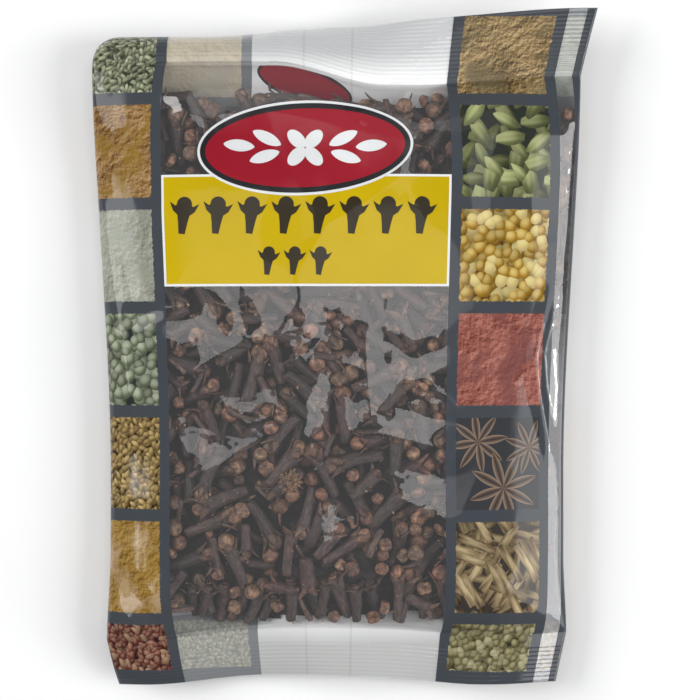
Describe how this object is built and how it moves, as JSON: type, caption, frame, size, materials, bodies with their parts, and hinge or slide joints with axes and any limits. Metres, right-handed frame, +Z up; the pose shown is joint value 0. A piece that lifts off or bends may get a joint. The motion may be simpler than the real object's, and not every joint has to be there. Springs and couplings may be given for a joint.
{
  "type": "sealed clear film pack of whole cloves",
  "caption": "Pillow pack of clear printed film, filled with whole cloves, with a crimped weld across each end and a fin weld down its back; it lies on its back, shown side up.",
  "frame": {"origin": "on the floor under the middle of the pack's bounding box, as it lies on its back", "axes": "+X across the pack towards its right side as read, +Y along it towards its top band, +Z up out of its shown side"},
  "size_m": [0.141, 0.19, 0.0227],
  "materials": {
    "pack_film": "clear glossy film with navy print at its sides, a yellow label and a white back, over dark brown cloves"
  },
  "bodies": {
    "root": {"clove_pack": "pack_film"}
  },
  "joints": []
}
